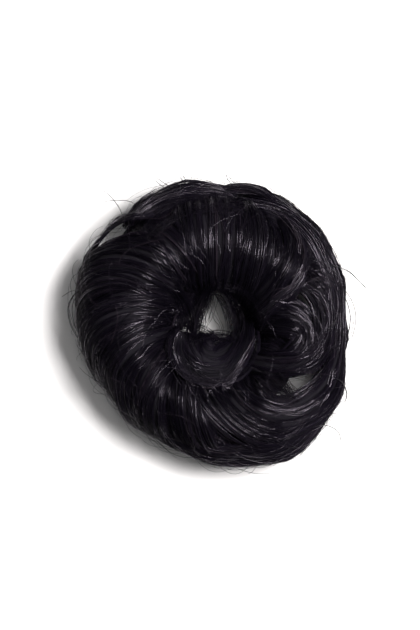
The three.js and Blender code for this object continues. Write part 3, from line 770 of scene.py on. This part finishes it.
def hair_surface():
    """The locks' undercoats as one surface to lay hairs on."""
    vertices = []
    faces = []
    for lock in LOCKS:
        rings, _ = undercoat_rings(lock)
        along, around, _ = rings.shape
        quads = loft_quads(along, around) + len(vertices)
        faces.extend(quads.reshape(-1, 4).tolist())
        vertices.extend(rings.reshape(-1, 3).tolist())
    return BVHTree.FromPolygons(vertices, faces)


def heights_below(surface, plan):
    """Heights of the surface at points seen from above (hairs, steps, 2), and nan where there is none."""
    heights = np.full(plan.shape[:2], np.nan)
    for place in np.ndindex(heights.shape):
        hit, _, _, _ = surface.ray_cast(Vector((*plan[place], ABOVE_ALL)), Vector(DOWN))
        if hit is not None:
            heights[place] = hit.z
    return heights


def drawn_taut(heights):
    """Heights (hairs, steps) of hairs that pass over the bumps below them in smooth arcs."""
    for _ in range(SPANNING_PASSES):
        padded = np.pad(heights, ((0, 0), (1, 1)), mode="edge")
        heights = np.maximum(np.maximum(padded[:, :-2], padded[:, 2:]), heights)
    for _ in range(SMOOTHING_PASSES):
        padded = np.pad(heights, ((0, 0), (1, 1)), mode="edge")
        heights = (padded[:, :-2] + 2 * heights + padded[:, 2:]) / 4
    return heights


def laid_on(surface, plan, rng):
    """Hairs laid on the surface, from their points seen from above (hairs, steps, 2).

    Each has a lift and a slope of its own. Where there is no hair below, such as over the hole, it goes
    on from what it hangs on, and rises or droops by its slope.
    """
    hairs, steps, _ = plan.shape
    lift = rng.uniform(*STRAY_LIFT, (hairs, 1)) * MM
    slope = rng.uniform(-FREE_SLOPE, FREE_SLOPE, hairs)
    heights = heights_below(surface, plan)
    order = np.arange(steps)
    for i in range(hairs):
        known = ~np.isnan(heights[i])
        if not known.any():
            heights[i] = ROLL_CENTRE_Z * MM
            continue
        away = np.linalg.norm(plan[i][:, None] - plan[i][known][None], axis=2).min(1)
        heights[i] = np.interp(order, order[known], heights[i][known]) + slope[i] * away
    return np.concatenate([plan, (drawn_taut(heights) + lift)[:, :, None]], 2)


def smooth_curve(points, share):
    """Points at shares of the length of a smooth curve through a few given ones."""
    points = np.array(points, dtype=float)
    ends = np.concatenate([[2 * points[0] - points[1]], points, [2 * points[-1] - points[-2]]])
    place = share * (len(points) - 1)
    row = np.minimum(place.astype(int), len(points) - 2)
    return smooth_between(*(ends[row + k] for k in range(4)), (place - row)[..., None])


def add_wisps(shell, surface, rng):
    for wisp in WISPS:
        count = wisp.strands
        one_each = (count, 1)
        steps = WISP_STEPS * len(wisp.points) + 2
        begin = rng.uniform(0, WISP_STAGGER, one_each)
        finish = 1 - rng.uniform(0, WISP_STAGGER, one_each)
        share = begin + (finish - begin) * np.linspace(0, 1, steps)
        middle = smooth_curve(wisp.points, share)
        along = np.gradient(middle, axis=1)
        side = np.stack([-along[..., 1], along[..., 0]], -1) / np.linalg.norm(along, axis=2, keepdims=True)
        offset = rng.normal(0, wisp.spread, one_each)
        shift = rng.uniform(-WISP_BULGE_SHIFT, WISP_BULGE_SHIFT, one_each)
        offset = offset * (WISP_BULGE + np.sin(np.pi * (share + shift)))
        plan = (middle + offset[:, :, None] * side) * MM + RING_CENTRE[:2]
        points = laid_on(surface, plan, rng)
        radius = wisp.radius * rng.uniform(*WISP_RADIUS_RANGE, count)
        tints = np.clip(rng.normal(wisp.tint, WISP_TINT_SPREAD, count), *TINT_RANGE)
        slot = SHINY if wisp.tint > WISP_SHINY_TINT else STRAND
        strand_tubes(shell, points, np.broadcast_to(UP, points.shape), radius, tints, slot)


def add_strays(shell, surface, rng):
    """Hairs that leave the run of a lock at a slant and lie over its neighbours."""
    count = STRAYS_PER_LOCK
    one_each = (count, 1)
    share = np.linspace(0, 1, STRAY_STEPS)
    for lock in LOCKS:
        if "under" in lock.node or lock.node == "lock_center_curl":
            continue
        start = rng.uniform(*STRAY_START, one_each)
        reach = rng.uniform(*STRAY_REACH, one_each)
        s = np.minimum(start + reach * share, STRAY_LAST)
        from_side = rng.uniform(-1, 1, one_each)
        drift = rng.normal(0, STRAY_DRIFT, one_each)
        curl = rng.normal(0, STRAY_CURL, one_each)
        curl_wave = np.sin(2 * np.pi * (share + rng.random(one_each)))
        across = from_side + drift * share ** SLOW_START + curl * curl_wave
        on_lock, _ = lock_point(lock, s, across, np.ones_like(across))
        points = laid_on(surface, on_lock[:, :, :2], rng)
        radius = rng.uniform(*STRAY_RADIUS, count)
        tints = rng.uniform(*STRAY_TINT, count)
        strand_tubes(shell, points, np.broadcast_to(UP, points.shape), radius, tints, SHINY)


def add_flyaways(shell, rng):
    """Fine hairs that rise off the ring's outside in loose arcs."""
    count = FLYAWAY_COUNT
    one_each = (count, 1)
    share = np.linspace(0, 1, FLYAWAY_STEPS)
    start = rng.uniform(0, 360, one_each)
    curl = np.sin(np.pi * share * rng.uniform(*FLYAWAY_CURLS, one_each))
    sweep = rng.choice((-1, 1), one_each) * rng.uniform(*FLYAWAY_SWEEP, one_each)
    turn_curl, wrap_curl = FLYAWAY_CURL
    turn = start + sweep * share + rng.normal(0, turn_curl, one_each) * curl
    wrap = rng.uniform(*FLYAWAY_WRAP, one_each) + rng.normal(0, wrap_curl, one_each) * curl
    reach = rng.uniform(*FLYAWAY_REACH, one_each)
    arc = np.sin(np.pi * share * rng.uniform(*FLYAWAY_ARC, one_each)) ** SLOW_START
    points = form_point(turn, wrap, FLYAWAY_ROOT - (reach + FLYAWAY_ROOT) * arc)
    radius = rng.uniform(*FLYAWAY_RADIUS, count)
    tints = rng.uniform(*FLYAWAY_TINT, count)
    strand_tubes(shell, points, form_normal(turn, wrap), radius, tints, STRAND)


def make_strays(surface, looks, rng):
    shell = Shell()
    add_wisps(shell, surface, rng)
    add_strays(shell, surface, rng)
    add_flyaways(shell, rng)
    piece = shell.to_object("hair_strays", looks[STRAND], looks[SHINY])
    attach(piece, "root")


# Materials

def new_material(name):
    material = bpy.data.materials.new(name)
    material.use_nodes = True
    nodes = material.node_tree.nodes
    return material, nodes, material.node_tree.links, nodes["Principled BSDF"]


def bake_coordinate(nodes):
    node = nodes.new("ShaderNodeUVMap")
    node.uv_map = "OFBake"
    return node.outputs["UV"]


def add_noise(nodes, scale, detail):
    noise = nodes.new("ShaderNodeTexNoise")
    noise.inputs["Scale"].default_value = scale
    noise.inputs["Detail"].default_value = detail
    return noise


def add_bump(nodes, links, shader, noise, strength, distance):
    bump = nodes.new("ShaderNodeBump")
    bump.inputs["Strength"].default_value = strength
    bump.inputs["Distance"].default_value = distance
    links.new(noise.outputs["Fac"], bump.inputs["Height"])
    links.new(bump.outputs["Normal"], shader.inputs["Normal"])


def grey(level):
    return (level, level, level)


def link_ramp(nodes, links, value, socket, *stops):
    """Leads a value into a socket through a colour ramp with stops (place, colour)."""
    node = nodes.new("ShaderNodeValToRGB")
    elements = node.color_ramp.elements
    for element, (place, colour) in zip(elements, (stops[0], stops[-1])):
        element.position = place
        element.color = (*colour, 1)
    for place, colour in stops[1:-1]:
        elements.new(place).color = (*colour, 1)
    links.new(value, node.inputs["Fac"])
    links.new(node.outputs["Color"], socket)


def strand_material(name, ior, roughest, smoothest):
    """Near-black hair. The bake coordinate's u is a strand's tint, its v the place along the strand."""
    material, nodes, links, shader = new_material(name)
    split = nodes.new("ShaderNodeSeparateXYZ")
    links.new(bake_coordinate(nodes), split.inputs["Vector"])
    tint = split.outputs["X"]
    along = split.outputs["Y"]
    mix = nodes.new("ShaderNodeMix")
    mix.data_type = "RGBA"
    mix.blend_type = "MULTIPLY"
    mix.inputs["Factor"].default_value = 1.0
    link_ramp(nodes, links, tint, mix.inputs["A"],
              (0.0, (0.0019, 0.0015, 0.0031)), (0.5, (0.0053, 0.0043, 0.0080)),
              (0.8, (0.0133, 0.0105, 0.0163)), (1.0, (0.044, 0.034, 0.044)))
    link_ramp(nodes, links, along, mix.inputs["B"], (0.0, grey(0.7)), (1.0, (1.15, 1.1, 1.1)))
    links.new(mix.outputs["Result"], shader.inputs["Base Color"])
    link_ramp(nodes, links, tint, shader.inputs["Roughness"], (0.0, grey(roughest)), (1.0, grey(smoothest)))
    add_bump(nodes, links, shader, add_noise(nodes, scale=2500, detail=3), strength=0.25, distance=0.00002)
    shader.inputs["IOR"].default_value = ior
    shader.inputs["Specular Tint"].default_value = (0.93, 0.85, 1.0, 1)
    return material


def undercoat_material():
    """The shaded hair below the strands, streaked along the lock."""
    material, nodes, links, shader = new_material("shaded_hair")
    stretch = nodes.new("ShaderNodeMapping")
    stretch.inputs["Scale"].default_value = (90, 2.5, 1)
    links.new(bake_coordinate(nodes), stretch.inputs["Vector"])
    noise = add_noise(nodes, scale=1, detail=2)
    links.new(stretch.outputs["Vector"], noise.inputs["Vector"])
    streaks = noise.outputs["Fac"]
    link_ramp(nodes, links, streaks, shader.inputs["Base Color"],
              (0.3, (0.0015, 0.0014, 0.0024)), (0.7, (0.0058, 0.0046, 0.0078)))
    link_ramp(nodes, links, streaks, shader.inputs["Roughness"], (0.3, grey(0.95)), (0.7, grey(0.7)))
    add_bump(nodes, links, shader, noise, strength=0.5, distance=0.0004)
    shader.inputs["Specular IOR Level"].default_value = 0.1
    return material


def elastic_material():
    """Matte black knit over rubber."""
    material, nodes, links, shader = new_material("knitted_elastic")
    noise = add_noise(nodes, scale=900, detail=3)
    fibres = noise.outputs["Fac"]
    link_ramp(nodes, links, fibres, shader.inputs["Base Color"],
              (0.3, (0.004, 0.004, 0.005)), (0.7, (0.014, 0.013, 0.015)))
    link_ramp(nodes, links, fibres, shader.inputs["Roughness"], (0.3, grey(0.9)), (0.7, grey(0.7)))
    add_bump(nodes, links, shader, noise, strength=0.4, distance=0.0003)
    return material


def floor_material():
    material, nodes, links, shader = new_material("white_table")
    noise = add_noise(nodes, scale=3, detail=2)
    link_ramp(nodes, links, noise.outputs["Fac"], shader.inputs["Base Color"],
              (0.0, grey(0.90)), (1.0, grey(0.93)))
    shader.inputs["Roughness"].default_value = 0.7
    shader.inputs["Specular IOR Level"].default_value = 0.2
    return material


# Scene

def make_floor():
    side = FLOOR_HALF_SIDE
    mesh = bpy.data.meshes.new("floor")
    corners = [(-side, -side, 0), (side, -side, 0), (side, side, 0), (-side, side, 0)]
    mesh.from_pydata(corners, [], [(0, 1, 2, 3)])
    mesh.materials.append(floor_material())
    add_object("floor", mesh)


def make_camera():
    data = bpy.data.cameras.new("camera")
    data.sensor_fit = "VERTICAL"
    data.sensor_height = SENSOR_MM
    view_height = PHOTO_HEIGHT_PX * PHOTO_MM_PER_PX * MM
    data.lens = SENSOR_MM * CAMERA_DISTANCE / view_height
    camera = add_object("camera", data)
    to_middle = np.array([PHOTO_WIDTH_PX / 2 - RING_CENTRE_PX[0], RING_CENTRE_PX[1] - PHOTO_HEIGHT_PX / 2])
    middle = RING_CENTRE[:2] + to_middle * PHOTO_MM_PER_PX * MM
    camera.location = (*middle, ROLL_CENTRE_Z * MM + CAMERA_DISTANCE)
    bpy.context.scene.camera = camera


def make_light(light):
    around = math.radians(light.azimuth)
    above = math.radians(light.elevation)
    level = math.cos(above)
    toward = Vector((level * math.cos(around), level * math.sin(around), math.sin(above)))
    data = bpy.data.lights.new(light.name, "AREA")
    data.shape = "SQUARE"
    data.size = light.size
    data.energy = light.power
    data.color = LIGHT_COLOUR
    lamp = add_object(light.name, data)
    lamp.location = toward * LIGHT_DISTANCE
    lamp.rotation_euler = toward.to_track_quat("Z", "Y").to_euler()
    lamp.visible_diffuse = light.on_matte
    lamp.visible_glossy = light.on_shiny


def make_sky():
    world = bpy.data.worlds.new("studio")
    world.use_nodes = True
    background = world.node_tree.nodes["Background"]
    background.inputs["Color"].default_value = (1, 1, 1, 1)
    background.inputs["Strength"].default_value = SKY_STRENGTH
    bpy.context.scene.world = world
    bpy.context.scene.view_settings.view_transform = "Standard"


def build():
    rng = np.random.default_rng(SEED)
    make_camera()
    for light in LIGHTS:
        make_light(light)
    make_sky()
    make_floor()
    looks = [
        strand_material("black_hair", ior=1.145, roughest=0.32, smoothest=0.22),
        strand_material("shiny_hair", ior=1.65, roughest=0.22, smoothest=0.15),
        undercoat_material(),
    ]
    surface = hair_surface()
    for lock in LOCKS:
        make_lock(lock, surface, looks, rng)
    make_wound_roll(looks, rng)
    make_elastic(elastic_material())
    make_strays(surface, looks, rng)


build()
